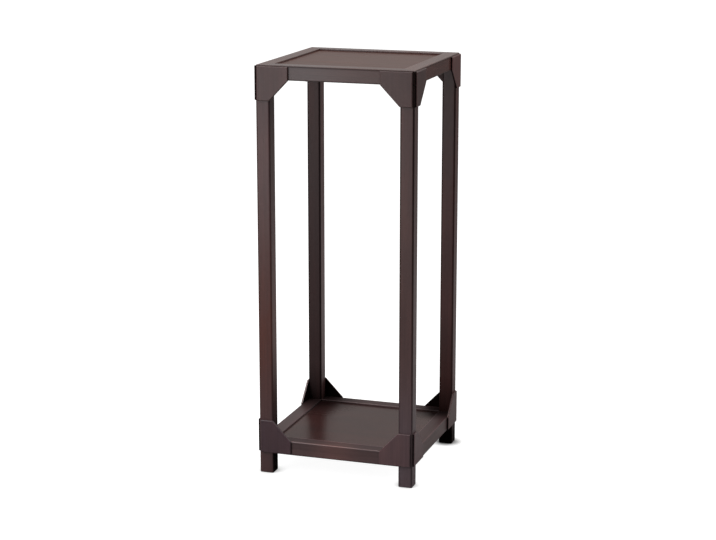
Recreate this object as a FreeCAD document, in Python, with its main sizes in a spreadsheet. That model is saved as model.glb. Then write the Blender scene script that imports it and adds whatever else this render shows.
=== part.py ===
import FreeCAD, Part
import os
import Sketcher

# A tall square pedestal: four posts, a mitred top frame and a shelf frame, each frame round a
# recessed panel, and flat gusset plates over both outer faces of every corner.
# Millimetres, +Z up, origin on the floor under the middle, front towards -Y.

# Driving dimensions
SIZES = {
    # the whole stand
    "total_height": 762.0,
    "frame_width": 296.0,
    "frame_depth": 296.0,
    "foot_height": 38.0,
    # legs
    "leg_size": 26.5,
    "leg_round": 3.0,
    "foot_ease": 0.8,
    # rails of both frames
    "rail_height": 26.5,
    "rail_width": 26.5,
    "rail_round": 2.0,
    "lip_round": 1.0,
    # panels and the grooves that hold them
    "panel_thickness": 8.0,
    "panel_recess": 3.0,
    "field_gap": 0.3,
    "tongue_thickness": 5.0,
    "groove_depth": 7.0,
    "groove_gap": 0.5,
    # gusset plates
    "gusset_thickness": 3.5,
    "gusset_reach": 62.5,
    "gusset_drop": 64.0,
    "gusset_round": 1.5,
    # dowels from the shelf rails into the legs
    "shelf_dowel_diameter": 6.0,
    "shelf_dowel_inset": 9.0,
    "shelf_dowel_pitch": 12.0,
    "shelf_dowel_wall": 1.0,
    "shelf_dowel_in_rail": 18.0,
    # dowels from the leg tops up into the top frame
    "leg_dowel_diameter": 10.0,
    "leg_dowel_in_leg": 16.0,
    "leg_dowel_in_frame": 8.0,
    # dowels across the mitres of the top frame
    "mitre_dowel_diameter": 6.0,
    "mitre_dowel_length": 20.0,
    "mitre_dowel_drop": 13.0,
    # brads under the gusset plates' finish
    "brad_diameter": 1.4,
    "brad_cover": 0.8,
    "brad_bite": 6.5,
    "brad_edge": 7.0,
    "brad_pitch": 12.0,
}

doc = FreeCAD.newDocument("pedestal")
dims = doc.addObject("Spreadsheet::Sheet", "dims")
for row, (alias, size) in enumerate(SIZES.items(), start=1):
    dims.set(f"A{row}", alias)
    dims.set(f"B{row}", str(size))
    dims.setAlias(f"B{row}", alias)
doc.recompute()

# Corners and sides run round the stand from the front left. Side k goes from corner k to the next
# corner, and each corner has a frame of its own: along its side, and inward from that side.
CORNERS = ["front_left", "front_right", "back_right", "back_left"]
SIDES = ["front", "right", "back", "left"]
SIDE_LENGTHS = ["dims.frame_width", "dims.frame_depth", "dims.frame_width", "dims.frame_depth"]
CORNER_SIGNS = [(-1, -1), (1, -1), (1, 1), (-1, 1)]
QUARTER_TURNS = [(1, 0), (0, 1), (-1, 0), (0, -1)]

UNDER_TOP_FRAME = "(dims.total_height - dims.rail_height)"
UNDER_SHELF = "dims.foot_height"
PANEL_BASE = "(dims.rail_height - dims.panel_recess - dims.panel_thickness)"
PANEL_TONGUE = "(dims.groove_depth - dims.groove_gap)"
OPEN_WIDTH = "(dims.frame_width - 2 * dims.rail_width)"
OPEN_DEPTH = "(dims.frame_depth - 2 * dims.rail_width)"
UP = FreeCAD.Vector(0, 0, 1)

finished = []
fasteners_at = [[], [], [], []]


def corner_point(corner, along, inward):
    """x and y of a point that lies along and inward from the outer corner of a leg."""
    sign_x, sign_y = CORNER_SIGNS[corner]
    cosine, sine = QUARTER_TURNS[corner]
    x = f"({sign_x}) * dims.frame_width / 2 + ({cosine}) * ({along}) - ({sine}) * ({inward})"
    y = f"({sign_y}) * dims.frame_depth / 2 + ({sine}) * ({along}) + ({cosine}) * ({inward})"
    return x, y


def corner_direction(corner, along, inward):
    """A direction given along and inward from a corner's side."""
    cosine, sine = QUARTER_TURNS[corner]
    return FreeCAD.Vector(cosine * along - sine * inward, sine * along + cosine * inward, 0)


def locate(piece, x, y, z, rotation=FreeCAD.Rotation()):
    """Puts a piece at a place that follows the sheet."""
    piece.Placement = FreeCAD.Placement(FreeCAD.Vector(), rotation)
    piece.setExpression("Placement.Base.x", x)
    piece.setExpression("Placement.Base.y", y)
    piece.setExpression("Placement.Base.z", z)


def locate_at_corner(piece, corner, z):
    """Puts a piece drawn in a corner's own frame at that corner."""
    x, y = corner_point(corner, "0", "0")
    locate(piece, x, y, z, FreeCAD.Rotation(UP, 90 * corner))


def outline(body, plane_role, corners):
    """A closed sketch through corners, each an x and a y that follow the sheet."""
    plane = next(part for part in body.Origin.OriginFeatures if part.Role == plane_role)
    sketch = body.newObject("Sketcher::SketchObject", body.Name + "_outline")
    sketch.AttachmentSupport = [(plane, "")]
    sketch.MapMode = "FlatFace"
    points = []
    for x, y in corners:
        points.append(FreeCAD.Vector(float(dims.evalExpression(x)), float(dims.evalExpression(y)), 0))
    count = len(points)
    for line in range(count):
        sketch.addGeometry(Part.LineSegment(points[line], points[(line + 1) % count]))
    for line in range(count):
        sketch.addConstraint(Sketcher.Constraint("Coincident", line, 2, (line + 1) % count, 1))
    for line, corner in enumerate(corners):
        for kind, axis, place, value in (
            ("DistanceX", -2, corner[0], points[line].x),
            ("DistanceY", -1, corner[1], points[line].y),
        ):
            if place == "0":
                sketch.addConstraint(Sketcher.Constraint("PointOnObject", line, 1, axis))
            else:
                number = sketch.addConstraint(Sketcher.Constraint(kind, -1, 1, line, 1, value))
                sketch.setExpression(f"Constraints[{number}]", place)
    return sketch


def pad(body, sketch, length, reverse=False):
    feature = body.newObject("PartDesign::Pad", body.Name + "_pad")
    feature.Profile = sketch
    feature.Reversed = reverse
    feature.setExpression("Length", length)
    doc.recompute()
    return feature


def fillet(body, base, names, radius):
    feature = body.newObject("PartDesign::Fillet", body.Name + "_round")
    feature.Base = (base, names)
    feature.setExpression("Radius", radius)
    doc.recompute()
    return feature


def upright_edges(shape):
    """Names of a shape's straight edges that run up and down."""
    names = []
    for number, edge in enumerate(shape.Edges, start=1):
        box = edge.BoundBox
        if box.XLength < 1e-6 and box.YLength < 1e-6:
            names.append(f"Edge{number}")
    return names


def furthest_face(shape, direction):
    """Name of the face that lies furthest out in a direction."""
    reach = [face.CenterOfMass.dot(direction) for face in shape.Faces]
    return f"Face{reach.index(max(reach)) + 1}"


def inner_rail_edges(shape):
    """Names of a rail's two long edges on its inner face."""
    inner_face = shape.BoundBox.YMax
    names = []
    for number, edge in enumerate(shape.Edges, start=1):
        box = edge.BoundBox
        if box.YMin > inner_face - 1e-6 and box.ZLength < 1e-6:
            names.append(f"Edge{number}")
    return names


def rectangle(left, front, right, back):
    return [(left, front), (right, front), (right, back), (left, back)]


def together(name, pieces):
    """Several solids kept apart in one named group."""
    group = doc.addObject("Part::Compound", name)
    group.Links = pieces
    return group


def combine(kind, name, base, tool):
    result = doc.addObject(kind, name)
    result.Base = base
    result.Tool = tool
    return result


def finish(piece, label):
    """Marks a piece as one of the stand's sub-parts."""
    piece.Label = label
    finished.append(piece)


def bored(label, blank, corners):
    """A blank with the holes of every fastener at its corners."""
    tools = [pin for corner in corners for pin in fasteners_at[corner]]
    finish(combine("Part::Cut", label, blank, together(label + "_holes", tools)), label)


def round_pin(name, corner, start, direction, diameter, length):
    """A dowel or brad: a cylinder from a start point, which makes its own hole in the corner's pieces."""
    pin = doc.addObject("Part::Cylinder", name)
    pin.setExpression("Radius", f"{diameter} / 2")
    pin.setExpression("Height", length)
    locate(pin, *start, FreeCAD.Rotation(UP, direction))
    fasteners_at[corner].append(pin)
    return pin


# Dowels that pin the mitres and carry the top frame on the legs
def make_top_dowels():
    mitre_dowels = []
    leg_dowels = []
    half_step = "dims.mitre_dowel_length / 2 * sqrt(1 / 2)"
    middle = "dims.rail_width / 2"
    for corner, corner_name in enumerate(CORNERS):
        start = corner_point(corner, f"{middle} - {half_step}", f"{middle} + {half_step}")
        start += ("dims.total_height - dims.mitre_dowel_drop",)
        mitre_dowels.append(
            round_pin(corner_name + "_mitre_dowel", corner, start, corner_direction(corner, 1, -1),
                      "dims.mitre_dowel_diameter", "dims.mitre_dowel_length"))
        start = corner_point(corner, "dims.leg_size / 2", "dims.leg_size / 2")
        start += (f"{UNDER_TOP_FRAME} - dims.leg_dowel_in_leg",)
        leg_dowels.append(
            round_pin(corner_name + "_leg_dowel", corner, start, UP, "dims.leg_dowel_diameter",
                      "dims.leg_dowel_in_leg + dims.leg_dowel_in_frame"))
    finish(together("mitre_dowels", mitre_dowels), "mitre_dowels")
    finish(together("leg_dowels", leg_dowels), "leg_dowels")


# Pairs of dowels from each end of a shelf rail into its leg, kept clear of the pair that crosses them
def make_shelf_dowels():
    dowels = []
    tip = "(dims.shelf_dowel_inset + dims.shelf_dowel_diameter / 2 + dims.shelf_dowel_wall)"
    length = f"dims.leg_size - {tip} + dims.shelf_dowel_in_rail"
    for corner, corner_name in enumerate(CORNERS):
        for level, side_of_middle in (("low", "-"), ("high", "+")):
            z = f"{UNDER_SHELF} + dims.rail_height / 2 {side_of_middle} dims.shelf_dowel_pitch / 2"
            start = corner_point(corner, tip, "dims.shelf_dowel_inset") + (z,)
            dowels.append(
                round_pin(f"{corner_name}_{level}_dowel_along", corner, start,
                          corner_direction(corner, 1, 0), "dims.shelf_dowel_diameter", length))
            start = corner_point(corner, "dims.shelf_dowel_inset", tip) + (z,)
            dowels.append(
                round_pin(f"{corner_name}_{level}_dowel_inward", corner, start,
                          corner_direction(corner, 0, 1), "dims.shelf_dowel_diameter", length))
    finish(together("shelf_dowels", dowels), "shelf_dowels")


# Four brads hold each gusset plate: two into the leg and two into the rail
def make_brads(level, height_of):
    brads = []
    behind_finish = "-(dims.gusset_thickness - dims.brad_cover)"
    length = "dims.gusset_thickness - dims.brad_cover + dims.brad_bite"
    spots = []
    for from_end in ("dims.brad_edge", "(dims.brad_edge + dims.brad_pitch)"):
        spots.append(("dims.leg_size / 2", f"dims.gusset_drop - {from_end}"))
        spots.append((f"dims.gusset_reach - {from_end}", "dims.rail_height / 2"))
    for corner, corner_name in enumerate(CORNERS):
        for number, (along, away) in enumerate(spots):
            z = height_of(away)
            name = f"{level}_{corner_name}_brad_{number}"
            start = corner_point(corner, along, behind_finish) + (z,)
            brads.append(
                round_pin(name + "_inward", corner, start, corner_direction(corner, 0, 1),
                          "dims.brad_diameter", length))
            start = corner_point(corner, behind_finish, along) + (z,)
            brads.append(
                round_pin(name + "_along", corner, start, corner_direction(corner, 1, 0),
                          "dims.brad_diameter", length))
    finish(together(level + "_gusset_brads", brads), level + "_gusset_brads")


def below_top(distance):
    return f"dims.total_height - ({distance})"


def above_shelf_base(distance):
    return f"{UNDER_SHELF} + ({distance})"


# Square posts with rounded arrises and an eased foot, all four alike and turned a quarter each
def make_legs():
    for corner, corner_name in enumerate(CORNERS):
        body = doc.addObject("PartDesign::Body", corner_name + "_post")
        sketch = outline(body, "XY_Plane", rectangle("0", "0", "dims.leg_size", "dims.leg_size"))
        post = pad(body, sketch, UNDER_TOP_FRAME)
        rounded = fillet(body, post, upright_edges(post.Shape), "dims.leg_round")
        ease = body.newObject("PartDesign::Chamfer", body.Name + "_foot")
        ease.Base = (rounded, [furthest_face(rounded.Shape, FreeCAD.Vector(0, 0, -1))])
        ease.setExpression("Size", "dims.foot_ease")
        locate_at_corner(body, corner, "0")
        bored(corner_name + "_leg", body, [corner])


# The rounded block that a frame's four rails are shaped from
def make_frame_envelope(level, base):
    body = doc.addObject("PartDesign::Body", level + "_frame_envelope")
    sketch = outline(body, "XY_Plane", rectangle("0", "0", "dims.frame_width", "dims.frame_depth"))
    block = pad(body, sketch, "dims.rail_height")
    corners = fillet(body, block, upright_edges(block.Shape), "dims.leg_round")
    faces = [furthest_face(corners.Shape, UP), furthest_face(corners.Shape, -UP)]
    fillet(body, corners, faces, "min(dims.rail_round; 0.9 * dims.leg_round)")
    locate_at_corner(body, 0, base)
    return body


# A rail with its outer face on y = 0: plan outline, eased inner edges and a groove for the panel
def make_rail(level, side, plan, base, envelope):
    name = f"{level}_{SIDES[side]}_rail"
    body = doc.addObject("PartDesign::Body", name + "_blank")
    blank = pad(body, outline(body, "XY_Plane", plan), "dims.rail_height")
    eased = fillet(body, blank, inner_rail_edges(blank.Shape), "dims.lip_round")
    groove_top = f"{PANEL_BASE} + dims.tongue_thickness"
    section = rectangle("dims.rail_width - dims.groove_depth", PANEL_BASE, "dims.rail_width", groove_top)
    groove = body.newObject("PartDesign::Pocket", body.Name + "_groove")
    groove.Profile = outline(body, "YZ_Plane", section)
    groove.Type = "ThroughAll"
    groove.Reversed = True
    doc.recompute()
    if groove.Shape.Volume > eased.Shape.Volume - 1:
        raise RuntimeError(name + " has no groove")
    locate_at_corner(body, side, base)
    shaped = combine("Part::Common", name + "_shaped", body, envelope)
    bored(name, shaped, [side, (side + 1) % 4])


def make_top_frame():
    envelope = make_frame_envelope("top", UNDER_TOP_FRAME)
    for side, length in enumerate(SIDE_LENGTHS):
        mitred = [("0", "0"), (length, "0"), (f"{length} - dims.rail_width", "dims.rail_width"),
                  ("dims.rail_width", "dims.rail_width")]
        make_rail("top", side, mitred, UNDER_TOP_FRAME, envelope)


def make_shelf_frame():
    envelope = make_frame_envelope("shelf", UNDER_SHELF)
    for side, length in enumerate(SIDE_LENGTHS):
        square = rectangle("dims.leg_size", "0", f"{length} - dims.leg_size", "dims.rail_width")
        make_rail("shelf", side, square, UNDER_SHELF, envelope)


# A flat panel, centred on the stand: a field between the rails, and a thinner tongue round it that
# sits in the rails' grooves
def make_panel_blank(name, base):
    body = doc.addObject("PartDesign::Body", name)
    tongue = (PANEL_TONGUE, "dims.tongue_thickness")
    field = ("-dims.field_gap", "dims.panel_thickness")
    for reach, thickness in (tongue, field):
        half_width = f"({OPEN_WIDTH} / 2 + {reach})"
        half_depth = f"({OPEN_DEPTH} / 2 + {reach})"
        plan = rectangle(f"-{half_width}", f"-{half_depth}", half_width, half_depth)
        pad(body, outline(body, "XY_Plane", plan), thickness)
    locate(body, "0", "0", f"{base} + {PANEL_BASE}")
    return body


def make_panels():
    finish(make_panel_blank("top_panel", UNDER_TOP_FRAME), "top_panel")
    blank = make_panel_blank("shelf_panel_blank", UNDER_SHELF)
    notches = []
    for corner, corner_name in enumerate(CORNERS):
        notch = doc.addObject("Part::Box", corner_name + "_notch")
        for size in ("Length", "Width"):
            notch.setExpression(size, "dims.leg_size + dims.field_gap")
        notch.setExpression("Height", "dims.rail_height")
        locate_at_corner(notch, corner, UNDER_SHELF)
        notches.append(notch)
    finish(combine("Part::Cut", "shelf_panel", blank, together("leg_notches", notches)), "shelf_panel")


# Plates on both outer faces of a corner, on the flat between the rounded arrises, with the
# inner corner cut off from the rail's edge to the leg's edge
def make_gussets(level, edge_height, towards):
    profile = [
        ("dims.leg_round", f"{towards}dims.rail_round"),
        ("dims.gusset_reach", f"{towards}dims.rail_round"),
        ("dims.gusset_reach", f"{towards}dims.rail_height"),
        ("dims.leg_size", f"{towards}dims.gusset_drop"),
        ("dims.leg_round", f"{towards}dims.gusset_drop"),
    ]
    this_side = ("XZ_Plane", False, FreeCAD.Vector(0, -1, 0), 0)
    side_before = ("YZ_Plane", True, FreeCAD.Vector(-1, 0, 0), 3)
    for corner, corner_name in enumerate(CORNERS):
        for plane_role, reverse, outward, side_step in (this_side, side_before):
            name = f"{level}_gusset_{corner_name}_{SIDES[(corner + side_step) % 4]}_face"
            body = doc.addObject("PartDesign::Body", name + "_blank")
            plate = pad(body, outline(body, plane_role, profile), "dims.gusset_thickness", reverse)
            fillet(body, plate, [furthest_face(plate.Shape, outward)], "dims.gusset_round")
            locate_at_corner(body, corner, edge_height)
            bored(name, body, [corner])


make_top_dowels()
make_shelf_dowels()
make_brads("upper", below_top)
make_brads("lower", above_shelf_base)
make_legs()
make_top_frame()
make_shelf_frame()
make_panels()
make_gussets("upper", "dims.total_height", "-")
make_gussets("lower", UNDER_SHELF, "")
doc.recompute()

for piece in doc.Objects:
    if "Invalid" in piece.State or "Error" in piece.State:
        raise RuntimeError(f"{piece.Label} failed: {piece.State}")
for piece in finished:
    if piece.Shape.isNull() or not piece.Shape.isValid() or not piece.Shape.Solids:
        raise RuntimeError(f"{piece.Label} has no sound shape")

os.makedirs("parts", exist_ok=True)
for piece in finished:
    piece.Shape.exportStep(f"parts/{piece.Label}.step")
print(len(finished), "sub-parts written")
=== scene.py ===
import math

import bpy
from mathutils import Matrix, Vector

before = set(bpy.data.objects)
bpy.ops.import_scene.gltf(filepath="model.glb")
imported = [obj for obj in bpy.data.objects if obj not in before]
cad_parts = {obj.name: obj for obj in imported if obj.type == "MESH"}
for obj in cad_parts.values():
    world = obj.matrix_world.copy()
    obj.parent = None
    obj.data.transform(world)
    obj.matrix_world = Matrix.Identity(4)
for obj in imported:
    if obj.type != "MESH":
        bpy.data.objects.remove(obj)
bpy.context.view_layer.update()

scene = bpy.context.scene
scene.view_settings.view_transform = "Standard"

# Camera
# A long lens, a little above the stand's middle and round to its right, as in the photograph.
# The picture is 716 by 540, and its width is the sensor's.
camera_azimuth = math.radians(18.32)
camera_elevation = math.radians(13.14)
camera_distance = 3.5275
camera_target = Vector((-0.0032, -0.0034, 0.3653))
camera_back = Vector((math.sin(camera_azimuth) * math.cos(camera_elevation),
                      -math.cos(camera_azimuth) * math.cos(camera_elevation),
                      math.sin(camera_elevation)))
camera_data = bpy.data.cameras.new("camera")
camera_data.sensor_width = 36.0
camera_data.lens = 94.66
camera_data.clip_end = 200.0
camera = bpy.data.objects.new("camera", camera_data)
camera.location = camera_target + camera_back * camera_distance
camera.rotation_mode = "QUATERNION"
camera.rotation_quaternion = camera_back.to_track_quat("Z", "Y")
scene.collection.objects.link(camera)
scene.camera = camera

# Floor
# A white studio floor, far larger than the view. It glows white to the camera, a little less near the
# stand, where lamplight makes up the rest, so that the feet keep a soft shadow, deepest at the back
# ones. The lacquer mirrors a ring of it faintly, and from below it is seen through.
floor_half = 40.0
floor_height = -0.0004
floor_mesh = bpy.data.meshes.new("floor")
floor_mesh.from_pydata(
    [(-floor_half, -floor_half, floor_height), (floor_half, -floor_half, floor_height),
     (floor_half, floor_half, floor_height), (-floor_half, floor_half, floor_height)], [], [(0, 1, 2, 3)])
floor = bpy.data.objects.new("floor", floor_mesh)
scene.collection.objects.link(floor)


def feed(tree, socket, value):
    """Sets a socket to a number, or links it to another node's output."""
    if isinstance(value, (int, float)):
        socket.default_value = value
    else:
        tree.links.new(value, socket)


def sum_up(tree, operation, first, second=0.0):
    """One step of arithmetic on numbers or on other nodes' outputs."""
    node = tree.nodes.new("ShaderNodeMath")
    node.operation = operation
    feed(tree, node.inputs[0], first)
    feed(tree, node.inputs[1], second)
    return node.outputs["Value"]


def remap(tree, value, low, high, to_low, to_high, interpolation="LINEAR"):
    """Carries the range from low to high over to another range, and holds its ends beyond them."""
    node = tree.nodes.new("ShaderNodeMapRange")
    node.interpolation_type = interpolation
    feed(tree, node.inputs["Value"], value)
    for socket, number in zip(("From Min", "From Max", "To Min", "To Max"), (low, high, to_low, to_high)):
        feed(tree, node.inputs[socket], number)
    return node.outputs["Result"]


def shown_to(tree, glossy_share):
    """One where the camera looks straight or through glass, and a share of it where gloss mirrors."""
    ray = tree.nodes.new("ShaderNodeLightPath")
    mirrored = sum_up(tree, "MULTIPLY", ray.outputs["Is Glossy Ray"], glossy_share)
    straight = sum_up(tree, "MAXIMUM", ray.outputs["Is Camera Ray"], ray.outputs["Is Transmission Ray"])
    return sum_up(tree, "MAXIMUM", straight, mirrored)


floor_paint = bpy.data.materials.new("floor_white")
floor_paint.use_nodes = True
floor_tree = floor_paint.node_tree
floor_tree.nodes.clear()
floor_place = floor_tree.nodes.new("ShaderNodeTexCoord")
floor_axes = floor_tree.nodes.new("ShaderNodeSeparateXYZ")
floor_tree.links.new(floor_place.outputs["Object"], floor_axes.inputs["Vector"])
floor_length = floor_tree.nodes.new("ShaderNodeVectorMath")
floor_length.operation = "LENGTH"
floor_tree.links.new(floor_place.outputs["Object"], floor_length.inputs[0])
floor_range = floor_length.outputs["Value"]

contact_reach = 0.020
front_feet, back_feet = -0.10, 0.12
front_depth, back_depth = 1.0, 4.0
floor_contact = floor_tree.nodes.new("ShaderNodeAmbientOcclusion")
floor_contact.inputs["Distance"].default_value = contact_reach
contact_depth = remap(floor_tree, floor_axes.outputs["Y"], front_feet, back_feet, front_depth, back_depth)
floor_shade = sum_up(floor_tree, "POWER", floor_contact.outputs["AO"], contact_depth)

ring_start, ring_middle, ring_end = 0.3, 0.9, 2.2
ring_share = 0.10
ring_rise = remap(floor_tree, floor_range, ring_start, ring_middle, 0.0, ring_share)
ring_fall = remap(floor_tree, floor_range, ring_middle, ring_end, 1.0, 0.0)
floor_seen = shown_to(floor_tree, sum_up(floor_tree, "MULTIPLY", ring_rise, ring_fall))

near_range, far_range = 0.35, 1.1
near_glow, far_glow = 0.955, 1.0
floor_level = remap(floor_tree, floor_range, near_range, far_range, near_glow, far_glow)
floor_glow = sum_up(floor_tree, "MULTIPLY", floor_seen, floor_level)
floor_emission = floor_tree.nodes.new("ShaderNodeEmission")
feed(floor_tree, floor_emission.inputs["Strength"],
     sum_up(floor_tree, "MULTIPLY", floor_glow, floor_shade))

floor_grey, mirrored_grey = 0.41, 0.34
floor_diffuse = floor_tree.nodes.new("ShaderNodeBsdfDiffuse")
floor_ray = floor_tree.nodes.new("ShaderNodeLightPath")
feed(floor_tree, floor_diffuse.inputs["Color"],
     remap(floor_tree, floor_ray.outputs["Is Glossy Ray"], 0.0, 1.0, floor_grey, mirrored_grey))
floor_sum = floor_tree.nodes.new("ShaderNodeAddShader")
floor_tree.links.new(floor_emission.outputs[0], floor_sum.inputs[0])
floor_tree.links.new(floor_diffuse.outputs[0], floor_sum.inputs[1])
floor_side = floor_tree.nodes.new("ShaderNodeNewGeometry")
floor_clear = floor_tree.nodes.new("ShaderNodeBsdfTransparent")
floor_both = floor_tree.nodes.new("ShaderNodeMixShader")
floor_tree.links.new(floor_side.outputs["Backfacing"], floor_both.inputs["Fac"])
floor_tree.links.new(floor_sum.outputs[0], floor_both.inputs[1])
floor_tree.links.new(floor_clear.outputs[0], floor_both.inputs[2])
floor_out = floor_tree.nodes.new("ShaderNodeOutputMaterial")
floor_tree.links.new(floor_both.outputs[0], floor_out.inputs["Surface"])
floor_mesh.materials.append(floor_paint)

# Surroundings
# The studio beyond the floor: white to the camera, and otherwise a pale, slightly warm ceiling and
# backdrop that fade into a dark room. The lacquer mirrors pale walls all round in the backdrop's place.
ceiling_level, backdrop_level, wall_level = 0.84, 0.56, 0.44
white_mirrored = 0.04
room_warmth = (1.0, 0.955, 0.925, 1.0)
room_white = (1.0, 1.0, 1.0, 1.0)
room = bpy.data.worlds.new("studio")
scene.world = room
room.use_nodes = True
room_tree = room.node_tree
room_tree.nodes.clear()
room_place = room_tree.nodes.new("ShaderNodeTexCoord")
room_axes = room_tree.nodes.new("ShaderNodeSeparateXYZ")
room_tree.links.new(room_place.outputs["Generated"], room_axes.inputs["Vector"])


def pale_side(towards, level):
    """A glow that fades with the fourth power of the cosine from its middle, where towards is one."""
    facing = sum_up(room_tree, "MAXIMUM", towards, 0.0)
    return sum_up(room_tree, "MULTIPLY", sum_up(room_tree, "POWER", facing, 4.0), level)


room_seen = shown_to(room_tree, white_mirrored)
room_ray = room_tree.nodes.new("ShaderNodeLightPath")
room_upward = room_axes.outputs["Z"]
upward_square = sum_up(room_tree, "MULTIPLY", room_upward, room_upward)
room_sideways = sum_up(room_tree, "SQRT", sum_up(room_tree, "SUBTRACT", 1.0, upward_square))
room_walls = remap(room_tree, room_ray.outputs["Is Glossy Ray"], 0.0, 1.0,
                   pale_side(room_axes.outputs["Y"], backdrop_level), pale_side(room_sideways, wall_level))
room_level = sum_up(room_tree, "ADD", pale_side(room_upward, ceiling_level), room_walls)
room_tint = room_tree.nodes.new("ShaderNodeMix")
room_tint.data_type = "RGBA"
room_tint.inputs["A"].default_value = room_warmth
room_tint.inputs["B"].default_value = room_white
room_tree.links.new(room_seen, room_tint.inputs["Factor"])
room_shader = room_tree.nodes.new("ShaderNodeBackground")
feed(room_tree, room_shader.inputs["Strength"], remap(room_tree, room_seen, 0.0, 1.0, room_level, 1.0))
room_tree.links.new(room_tint.outputs["Result"], room_shader.inputs["Color"])
room_out = room_tree.nodes.new("ShaderNodeOutputWorld")
room_tree.links.new(room_shader.outputs[0], room_out.inputs["Surface"])

# Lamps
# Four softboxes aimed at the stand: large ones on the left, overhead and behind on the right, and a
# weak tall one low in front that the lacquer mirrors.
lamp_aim = Vector((0.0, 0.0, 0.45))


def softbox(name, azimuth, elevation, distance, width, height, power):
    """Azimuth goes from straight in front to the left, in degrees. Power is in watts."""
    lamp = bpy.data.lights.new(name, "AREA")
    lamp.shape = "RECTANGLE"
    lamp.size = width
    lamp.size_y = height
    lamp.energy = power
    turn, rise = math.radians(azimuth), math.radians(elevation)
    towards = Vector((-math.sin(turn) * math.cos(rise), -math.cos(turn) * math.cos(rise), math.sin(rise)))
    holder = bpy.data.objects.new(name, lamp)
    holder.location = lamp_aim + towards * distance
    holder.rotation_mode = "QUATERNION"
    holder.rotation_quaternion = towards.to_track_quat("Z", "Y")
    scene.collection.objects.link(holder)


softbox("left_softbox", azimuth=47.0, elevation=40.0, distance=3.2, width=2.4, height=2.4, power=64.0)
softbox("overhead_softbox", azimuth=0.0, elevation=85.0, distance=3.2, width=2.0, height=2.0, power=22.5)
softbox("front_softbox", azimuth=20.0, elevation=4.0, distance=1.6, width=0.6, height=0.9, power=2.85)
softbox("side_softbox", azimuth=-120.0, elevation=30.0, distance=3.2, width=2.4, height=2.4, power=43.0)


# Legs
# Four square posts of close-grained hardwood, their arrises rounded over, stained dark espresso and
# sprayed with satin lacquer. The stain lies a little uneven, and the sanded arrises carry painted shade
# and are duller.
def grain_noise(tree, grain, offset, across, along, detail, roughness):
    """Noise drawn out along the grain. Across and along are its steps in a metre."""
    place = tree.nodes.new("ShaderNodeTexCoord")
    mapping = tree.nodes.new("ShaderNodeMapping")
    mapping.inputs["Location"].default_value = offset
    mapping.inputs["Scale"].default_value = [along if axis == grain else across for axis in "XYZ"]
    tree.links.new(place.outputs["Object"], mapping.inputs["Vector"])
    texture = tree.nodes.new("ShaderNodeTexNoise")
    texture.inputs["Scale"].default_value = 1.0
    texture.inputs["Detail"].default_value = detail
    texture.inputs["Roughness"].default_value = roughness
    tree.links.new(mapping.outputs["Vector"], texture.inputs["Vector"])
    return texture.outputs["Fac"]


def blend(tree, first, second, factor, how="MIX"):
    """Two colours mixed or multiplied. Each is three numbers or another node's output."""
    node = tree.nodes.new("ShaderNodeMix")
    node.data_type = "RGBA"
    node.blend_type = how
    for socket, colour in (("A", first), ("B", second)):
        if isinstance(colour, tuple):
            node.inputs[socket].default_value = (*colour, 1.0)
        else:
            tree.links.new(colour, node.inputs[socket])
    feed(tree, node.inputs["Factor"], factor)
    return node.outputs["Result"]


# The stain's deep and warm clouds, the lacquer's roughness and relief, and below them the ranges of noise
# or of light that a finish reads, each with what it makes of them.
deep_share = 0.87
warm_shares = (1.16, 1.09, 1.02)
satin_gloss = (0.27, 0.36)
relief_height = 0.0001
relief_strength = 0.25
cloud_noise, cloud_amounts = (0.35, 0.68), (0.0, 1.0)
wear_and_light_noise, wear_and_light_amounts = (0.3, 0.6), (0.6, 1.0)
figure_noise, figure_lights = (0.3, 0.7), (0.88, 1.12)
streak_noise, streak_lights = (0.25, 0.75), (0.84, 1.16)
ridge_noise, ridge_heights = (0.3, 0.7), (0.0, 1.0)
pore_noise, pore_heights = (0.28, 0.42), (-0.8, 0.0)
dull_shares, dull_roughness = (0.3, 1.0), (0.15, 0.0)
shine_shares, shine_levels = (0.0, 2.0), (0.0, 1.0)


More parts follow.
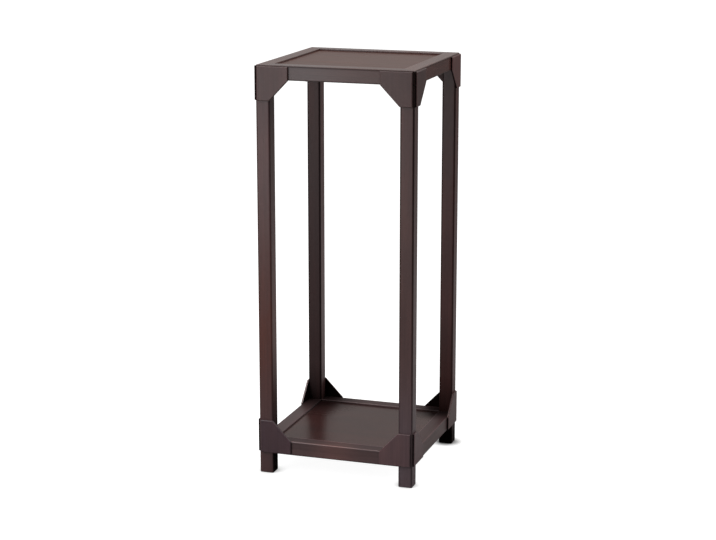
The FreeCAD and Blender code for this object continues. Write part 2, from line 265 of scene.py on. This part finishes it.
def stained_wood(name, grain, stain, offset, section=None, wear_and_light=None, gloss=satin_gloss):
    """Stain clouds, broad figure and fine streaks drawn out along the grain, under satin lacquer.

    The offset moves the grain, so that each finish has its own. The section gives the share of the
    stain's light at a point: less where shade is painted and the lacquer is dull, and more where the
    stain is worn pale and where a highlight is painted. Wear and light gives an axis, two places on it,
    and the colour halfway between them: a thinner stain on some pieces and painted light on others.
    Gloss is the lacquer's range of roughness.
    """
    finish = bpy.data.materials.new(name)
    finish.use_nodes = True
    tree = finish.node_tree
    tree.nodes.clear()
    place = tree.nodes.new("ShaderNodeTexCoord")
    axes_node = tree.nodes.new("ShaderNodeSeparateXYZ")
    tree.links.new(place.outputs["Object"], axes_node.inputs["Vector"])
    axes = axes_node.outputs
    clouds = grain_noise(tree, grain, offset, across=22.0, along=7.0, detail=3.0, roughness=0.55)
    figure = grain_noise(tree, grain, offset, across=130.0, along=3.0, detail=2.0, roughness=0.5)
    streaks = grain_noise(tree, grain, offset, across=420.0, along=9.0, detail=4.0, roughness=0.6)
    pores = grain_noise(tree, grain, offset, across=1900.0, along=60.0, detail=2.0, roughness=0.5)

    deep = tuple(deep_share * channel for channel in stain)
    warm = tuple(share * channel for share, channel in zip(warm_shares, stain))
    colour = blend(tree, deep, warm, remap(tree, clouds, *cloud_noise, *cloud_amounts))
    if wear_and_light:
        axis, low, high, wear_and_light_colour = wear_and_light
        middle = 0.5 * (low + high)
        rise = remap(tree, axes[axis], low, middle, 0.0, 1.0, "SMOOTHSTEP")
        fall = remap(tree, axes[axis], middle, high, 1.0, 0.0, "SMOOTHSTEP")
        uneven = remap(tree, clouds, *wear_and_light_noise, *wear_and_light_amounts)
        amount = sum_up(tree, "MULTIPLY", uneven, sum_up(tree, "MULTIPLY", rise, fall))
        colour = blend(tree, colour, wear_and_light_colour, amount)

    figure_light = remap(tree, figure, *figure_noise, *figure_lights)
    streak_light = remap(tree, streaks, *streak_noise, *streak_lights)
    light = sum_up(tree, "MULTIPLY", figure_light, streak_light)
    satin = remap(tree, streaks, *streak_noise, *gloss)
    lacquer = tree.nodes.new("ShaderNodeBsdfPrincipled")
    lacquer.inputs["IOR"].default_value = 1.5
    if section:
        share = section(tree, axes)
        light = sum_up(tree, "MULTIPLY", light, share)
        satin = sum_up(tree, "ADD", satin, remap(tree, share, *dull_shares, *dull_roughness))
        shine = remap(tree, share, *shine_shares, *shine_levels)
        feed(tree, lacquer.inputs["Specular IOR Level"], shine)

    ridges = remap(tree, streaks, *ridge_noise, *ridge_heights)
    pits = remap(tree, pores, *pore_noise, *pore_heights)
    relief = tree.nodes.new("ShaderNodeBump")
    relief.inputs["Strength"].default_value = relief_strength
    relief.inputs["Distance"].default_value = relief_height
    feed(tree, relief.inputs["Height"], sum_up(tree, "ADD", ridges, pits))
    tree.links.new(blend(tree, colour, light, 1.0, "MULTIPLY"), lacquer.inputs["Base Color"])
    tree.links.new(satin, lacquer.inputs["Roughness"])
    tree.links.new(relief.outputs["Normal"], lacquer.inputs["Normal"])
    out = tree.nodes.new("ShaderNodeOutputMaterial")
    tree.links.new(lacquer.outputs["BSDF"], out.inputs["Surface"])
    return finish


def dress(node, finish):
    """Puts one finish on every material slot of a node of the frame."""
    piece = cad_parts[node]
    if not piece.material_slots:
        piece.data.materials.append(finish)
    for slot in piece.material_slots:
        slot.material = finish


# Legs and rails have one square section and lie in line on each side of the stand. These are a leg's
# outer and inner faces, a place just under the inner one, half the section, its middle line, and the
# distances from that line between which an arris turns dark with painted shade.
leg_outer = 0.148
leg_inner = 0.1215
leg_within = 0.1235
strip_half = 0.01325
strip_centre = leg_outer - strip_half
arris_painted_shade = (strip_half - 0.0040, strip_half - 0.0018)

# Heights between which a leg's painted shade fades.
arris_heights = (0.1, 0.7)
side_heights = (0.07, 0.26)
shelf_heights = (0.06, 0.14)
foot_heights = (0.020, 0.045)


def from_strip(tree, place):
    """Distance of a place on an axis, on either side of the stand, from the middle line of its strip."""
    outward = sum_up(tree, "SUBTRACT", sum_up(tree, "ABSOLUTE", place), strip_centre)
    return sum_up(tree, "ABSOLUTE", outward)


def leg_section(arris_low, arris_high, by_shelf=1.0, at_foot=1.0, dark_side=None):
    """Painted shade: near an arris, by one share low down and another high up, by the shelf and at the
    foot.

    A dark side is a face with painted shade: an axis, where the side is on it, a place just inside the
    leg, and its share of light low down and higher up.
    """
    def section(tree, axes):
        height = axes["Z"]
        nearness = sum_up(tree, "MINIMUM", from_strip(tree, axes["X"]), from_strip(tree, axes["Y"]))
        arris = remap(tree, height, *arris_heights, arris_low, arris_high)
        share = remap(tree, nearness, *arris_painted_shade, 1.0, arris)
        if dark_side:
            axis, side, inside, low_down, higher_up = dark_side
            dim = remap(tree, height, *side_heights, low_down, higher_up)
            share = sum_up(tree, "MULTIPLY", share, remap(tree, axes[axis], inside, side, 1.0, dim))
        share = sum_up(tree, "MULTIPLY", share, remap(tree, height, *shelf_heights, by_shelf, 1.0))
        return sum_up(tree, "MULTIPLY", share, remap(tree, height, *foot_heights, at_foot, 1.0))
    return section


# Each leg has its own stain; the back legs' darker ones are painted shade. The front left one is
# redder below its middle, and has painted shade low on the side that faces right. The front right one
# is painted greyer and lighter towards the foot, a painted sheen. The back legs carry painted shade on
# their fronts, by the shelf and at the feet, and the back left one a lighter painted reflection on the
# side that faces right.
leg_stains = {
    "front_left": (0.082, 0.0390, 0.0410),
    "front_right": (0.076, 0.0325, 0.0305),
    "back_left": (0.043, 0.0150, 0.0155),
    "back_right": (0.066, 0.0195, 0.0180),
}
leg_sections = {
    "front_left": leg_section(arris_low=0.90, arris_high=0.50,
                              dark_side=("X", -leg_inner, -leg_within, 0.15, 1.0)),
    "front_right": leg_section(arris_low=0.55, arris_high=0.20),
    "back_left": leg_section(arris_low=0.38, arris_high=0.25, by_shelf=0.25, at_foot=0.5,
                             dark_side=("Y", leg_inner, leg_within, 0.68, 0.75)),
    "back_right": leg_section(arris_low=0.56, arris_high=0.32, by_shelf=0.35, at_foot=0.25,
                              dark_side=("Y", leg_inner, leg_within, 0.48, 0.90)),
}
leg_tint_and_light = {
    "front_left": ("Z", 0.02, 0.56, (0.093, 0.0185, 0.0085)),
    "front_right": ("Z", -0.25, 0.30, (0.096, 0.0660, 0.0770)),
    "back_left": ("X", -0.1230, -0.1200, (0.095, 0.0430, 0.0420)),
}
for number, (corner, stain) in enumerate(leg_stains.items()):
    offset = (3.1 * number, 1.7, 5.3 * number)
    dress(corner + "_leg", stained_wood(f"espresso_{corner}_leg", "Z", stain, offset,
                                        leg_sections[corner], leg_tint_and_light.get(corner)))

# Rails of the top and shelf frames
# Square strips of the same wood with the grain along them: mitred round the top, butted between the
# legs at the shelf, and finished with the legs. Their upper arrises are pale on top, partly worn and
# partly a painted highlight, and their other arrises carry painted shade.
top_middle = 0.74875
shelf_middle = 0.05125

# Where the parts of a rail's arrises begin and end, as rail_section measures them.
arris_outside = (strip_centre - 0.001, strip_centre + 0.001)
arris_side = (-0.0042, -0.0018)
arris_crest = (-0.0010, 0.0002)
arris_flat = (0.0016, 0.0024)
arris_under = (-0.0004, 0.0030)
under_share = 0.45
upright_top = (strip_half - 0.0030, strip_half - 0.0012)
upright_share = 0.2


def from_middle(tree, axes, which):
    """The MAXIMUM or the MINIMUM of a point's distances along X and Y from the stand's middle."""
    return sum_up(tree, which, sum_up(tree, "ABSOLUTE", axes["X"]), sum_up(tree, "ABSOLUTE", axes["Y"]))


def rail_section(middle_height, pale_crest, shaded, top_share=1.0):
    """Pale on the upper half of an upper arris, by wear and a painted highlight, and painted shade below
    an outer one and on the other arrises.

    Lean is the height above the rail's middle line less the distance out from it, so it goes from less
    than nothing to more over an upper arris, from its side to its top. Droop is the two added, and does
    the same over a lower one, from underneath to its side. The frame's upright corners count as arrises
    below its top.
    """
    def section(tree, axes):
        outermost = from_middle(tree, axes, "MAXIMUM")
        outward = from_strip(tree, outermost)
        upward = sum_up(tree, "SUBTRACT", axes["Z"], middle_height)
        lean = sum_up(tree, "SUBTRACT", upward, outward)
        below = remap(tree, outermost, *arris_outside, 1.0, shaded)
        side = remap(tree, lean, *arris_side, 1.0, below)
        crest = remap(tree, lean, *arris_crest, 0.0, pale_crest)
        flat = remap(tree, lean, *arris_flat, pale_crest, top_share)
        upper = sum_up(tree, "MINIMUM", sum_up(tree, "MAXIMUM", side, crest), flat)
        droop = sum_up(tree, "ADD", upward, outward)
        share = sum_up(tree, "MULTIPLY", upper, remap(tree, droop, *arris_under, under_share, 1.0))
        nearness = sum_up(tree, "SUBTRACT", from_middle(tree, axes, "MINIMUM"), strip_centre)
        below_top = remap(tree, upward, *upright_top, upright_share, 1.0)
        return sum_up(tree, "MULTIPLY", share, remap(tree, nearness, *arris_painted_shade, 1.0, below_top))
    return section


# Painted shade round the back legs' inner corners: where it starts, its darkest share, and its reach.
corner_start = 0.012
corner_share = 0.18
corner_reaches = ((-leg_inner, 0.105), (leg_inner, 0.068))


def corner_section(tree, axes):
    """Painted shade round the inner corners of the two back legs, and further out at the left one."""
    shares = []
    for corner_x, reach in corner_reaches:
        sideways = sum_up(tree, "SUBTRACT", axes["X"], corner_x)
        backwards = sum_up(tree, "SUBTRACT", axes["Y"], leg_inner)
        squares = sum_up(tree, "ADD", sum_up(tree, "MULTIPLY", sideways, sideways),
                         sum_up(tree, "MULTIPLY", backwards, backwards))
        away = sum_up(tree, "SQRT", squares)
        shares.append(remap(tree, away, corner_start, reach, corner_share, 1.0, "SMOOTHSTEP"))
    return sum_up(tree, "MULTIPLY", *shares)


def shelf_rail_section(pale_crest, top_share):
    """A shelf rail's arrises, and the painted shade in the back corners of the shelf."""
    arrises = rail_section(shelf_middle, pale_crest, shaded=0.9, top_share=top_share)

    def section(tree, axes):
        return sum_up(tree, "MULTIPLY", arrises(tree, axes), corner_section(tree, axes))
    return section


# The top's front and back rails are painted greyer and paler towards the left, a painted sheen. The
# shelf's front rail's stain is rubbed thinner in the middle, where it is most often knocked, and it and
# the back one are palest along their upper arrises, by wear and a painted highlight. The tops of the
# shelf's rails carry painted shade.
top_stain = (0.082, 0.0330, 0.0290)
top_across_stain = (0.074, 0.0310, 0.0290)
top_painted_sheen = ("X", -0.22, 0.08, (0.086, 0.0570, 0.0580))
top_gloss = (0.19, 0.28)
top_section = rail_section(top_middle, pale_crest=1.25, shaded=0.45)
top_across = stained_wood("espresso_top_front", "X", top_across_stain, (2.3, 7.9, 4.1), top_section,
                          top_painted_sheen, top_gloss)
top_deep = stained_wood("espresso_top_right", "Y", top_stain, (8.7, 1.3, 6.5), top_section, gloss=top_gloss)
# The shelf rails' stain is bluer than the top's, a painted sheen.
shelf_stain = (0.073, 0.0400, 0.0425)
shelf_thin = ("X", -0.065, 0.060, (0.128, 0.0580, 0.0530))
shelf_gloss = (0.34, 0.44)
rail_finishes = {
    "top_front": top_across,
    "top_back": top_across,
    "top_right": top_deep,
    "top_left": top_deep,
    "shelf_front": stained_wood("espresso_shelf_front", "X", shelf_stain, (6.1, 0.9, 3.2),
                                shelf_rail_section(pale_crest=2.2, top_share=0.72), shelf_thin, shelf_gloss),
    "shelf_back": stained_wood("espresso_shelf_back", "X", shelf_stain, (4.4, 2.1, 7.7),
                               shelf_rail_section(pale_crest=2.2, top_share=0.74), gloss=shelf_gloss),
    "shelf_right": stained_wood("espresso_shelf_right", "Y", shelf_stain, (1.6, 5.2, 8.3),
                                shelf_rail_section(pale_crest=1.2, top_share=0.74)),
    "shelf_left": stained_wood("espresso_shelf_left", "Y", shelf_stain, (7.4, 2.6, 0.8),
                               shelf_rail_section(pale_crest=1.2, top_share=0.94)),
}
for side, finish in rail_finishes.items():
    dress(side + "_rail", finish)

# Panels
# Flat veneered boards, rebated to a tongue that sits in the rails' grooves, sunk a little below the
# borders, and with the grain from side to side. The shelf's is glossier, and has painted shade in its
# two back corners.
top_panel_stain = (0.070, 0.0210, 0.0130)
shelf_panel_stain = (0.047, 0.0160, 0.0150)
shelf_panel_gloss = (0.19, 0.27)
dress("top_panel", stained_wood("espresso_top_panel", "X", top_panel_stain, (5.9, 3.7, 0.4)))
dress("shelf_panel", stained_wood("espresso_shelf_panel", "X", shelf_panel_stain, (0.7, 6.8, 1.9),
                                  corner_section, gloss=shelf_panel_gloss))

# Gusset plates
# Thin five-sided plates of the same stained wood, glued and pinned over the corners, with the grain
# upright and their outer edges softened. Their cut edges and backs carry painted shade, lighter on the
# edges that face up, where light from above is painted.
plate_face = 0.1515

# Depths behind that face between which a plate's front turns to its edge, and its edge to its back, and
# how far upward an edge faces when it begins to count as an upper one and when it wholly does.
edge_depths = (0.0006, 0.0014)
back_depths = (0.0031, 0.0034)
upper_facing = (0.3, 0.6)
# The share of light on cut edges that don't face up: painted shade.
edge_share = 0.04

# Heights between the lower and the upper plates, and the share of light on the backs of each, which is
# painted shade.
back_heights = (0.3, 0.5)
back_shares = (0.06, 0.65)


def plate_section(upper_edge):
    """Painted shade on a plate's cut edges and its back, most by the shelf, lighter on edges that face up.
    """
    def section(tree, axes):
        facing = tree.nodes.new("ShaderNodeNewGeometry")
        direction = tree.nodes.new("ShaderNodeSeparateXYZ")
        tree.links.new(facing.outputs["Normal"], direction.inputs["Vector"])
        edge = remap(tree, direction.outputs["Z"], *upper_facing, edge_share, upper_edge)
        depth = sum_up(tree, "SUBTRACT", plate_face, from_middle(tree, axes, "MAXIMUM"))
        back = remap(tree, axes["Z"], *back_heights, *back_shares)
        behind = remap(tree, depth, *back_depths, edge, back)
        return remap(tree, depth, *edge_depths, 1.0, behind)
    return section


# Each plate has its own stain; the lower front plates' bluer tones are a painted sheen.
plate_stains = {
    "upper_gusset_front_left": (0.069, 0.0330, 0.0335),
    "upper_gusset_front_right": (0.065, 0.0310, 0.0305),
    "upper_gusset_back_right": (0.100, 0.0390, 0.0375),
    "upper_gusset_back_left": (0.066, 0.0255, 0.0245),
    "lower_gusset_front_left": (0.064, 0.0315, 0.0405),
    "lower_gusset_front_right": (0.105, 0.0560, 0.0630),
    "lower_gusset_back_right": (0.064, 0.0240, 0.0230),
    "lower_gusset_back_left": (0.058, 0.0220, 0.0210),
}
# The back left plates by the shelf have a painted highlight on their upper edges.
plain_edge = 0.9
painted_edge_highlights = {"lower_gusset_back_left": 1.8}
for number, (plates, stain) in enumerate(plate_stains.items()):
    offset = (9.2 + number, 4.6, 2.8 * number)
    finish = stained_wood(f"espresso_{plates}", "Z", stain, offset,
                          plate_section(painted_edge_highlights.get(plates, plain_edge)))
    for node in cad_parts:
        if node.startswith(plates) and node.endswith("_face"):
            dress(node, finish)

# Dowels
# Plain unstained beech pins, glued into the top's mitres, the legs' tops and the ends of the shelf's
# rails, where none of them shows.
beech_colour = (0.52, 0.34, 0.20)
beech = stained_wood("plain_beech", "Z", beech_colour, (0.0, 0.0, 0.0))
for node in ("mitre_dowels", "leg_dowels", "shelf_dowels"):
    dress(node, beech)

# Brads
# Short wire nails of bright drawn steel that has dulled in spots. They pin the gusset plates to the legs
# and rails from under the plates' finish, so that no head shows.
bright_steel = (0.46, 0.46, 0.47)
dull_steel = (0.22, 0.20, 0.18)
dull_noise = (0.45, 0.75)
rough_noise, brad_roughness = (0.3, 0.7), (0.28, 0.55)
brad_steel = bpy.data.materials.new("brad_wire")
brad_steel.use_nodes = True
brad_tree = brad_steel.node_tree
brad_surface = brad_tree.nodes["Principled BSDF"]
brad_spots = grain_noise(brad_tree, "Z", (0.0, 0.0, 0.0), across=2500.0, along=2500.0, detail=3.0,
                         roughness=0.6)
brad_dulled = remap(brad_tree, brad_spots, *dull_noise, 0.0, 1.0)
brad_colour = blend(brad_tree, bright_steel, dull_steel, brad_dulled)
brad_tree.links.new(brad_colour, brad_surface.inputs["Base Color"])
feed(brad_tree, brad_surface.inputs["Roughness"],
     remap(brad_tree, brad_spots, *rough_noise, *brad_roughness))
brad_surface.inputs["Metallic"].default_value = 1.0
dress("upper_gusset_brads", brad_steel)
dress("lower_gusset_brads", brad_steel)
